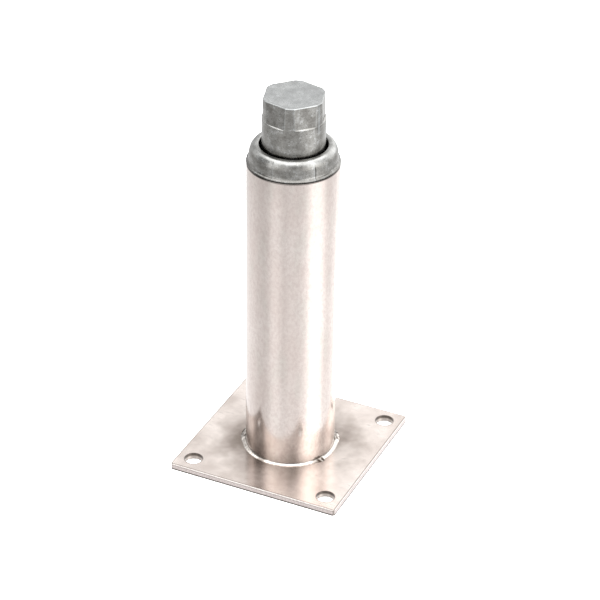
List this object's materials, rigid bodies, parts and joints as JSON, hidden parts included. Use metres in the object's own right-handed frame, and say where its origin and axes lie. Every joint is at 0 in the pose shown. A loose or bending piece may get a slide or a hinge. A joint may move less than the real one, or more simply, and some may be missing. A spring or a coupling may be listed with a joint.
{
  "type": "adjustable equipment leg",
  "caption": "Adjustable stainless equipment leg: round tube welded to a square bolt-on plate, with a cast collar and a screw-out cast hex foot for levelling.",
  "frame": {"origin": "centre of the mounting plate's outer face, on the tube's axis", "axes": "+Z along the tube from the plate to the foot; X and Y along the plate's sides"},
  "size_m": [0.0826, 0.0826, 0.1831],
  "materials": {
    "stainless_plate": "satin rolled stainless sheet with sheared edges",
    "stainless_tube": "satin polished stainless tube",
    "weld_metal": "bright rippled weld bead",
    "cast_zinc": "as-cast zinc alloy, mottled grey, slightly pitted",
    "plated_steel": "zinc-plated machined steel",
    "spring_steel": "dark phosphated spring steel"
  },
  "bodies": {
    "leg": {"mounting_plate": "stainless_plate", "leg_tube": "stainless_tube", "plate_weld": "weld_metal", "collar_insert": "cast_zinc"},
    "stop": {"stop_washer": "plated_steel"},
    "foot": {"hex_foot": "cast_zinc", "foot_stud": "plated_steel", "stud_retaining_ring": "spring_steel"}
  },
  "joints": [
    {"name": "foot_lift", "type": "slide", "parent": "leg", "child": "stop", "axis": [0, 0, 1], "range_m": [-0.011, 0.0144]},
    {"name": "foot_turn", "type": "hinge", "parent": "stop", "child": "foot", "pos_m": [0, 0, 0.1], "axis": [0, 0, 1], "range_deg": [-1560, 2042]}
  ],
  "couplings": [
    {"joint": "foot_turn", "follows": "foot_lift", "rad_per_m": 2473.7}
  ]
}
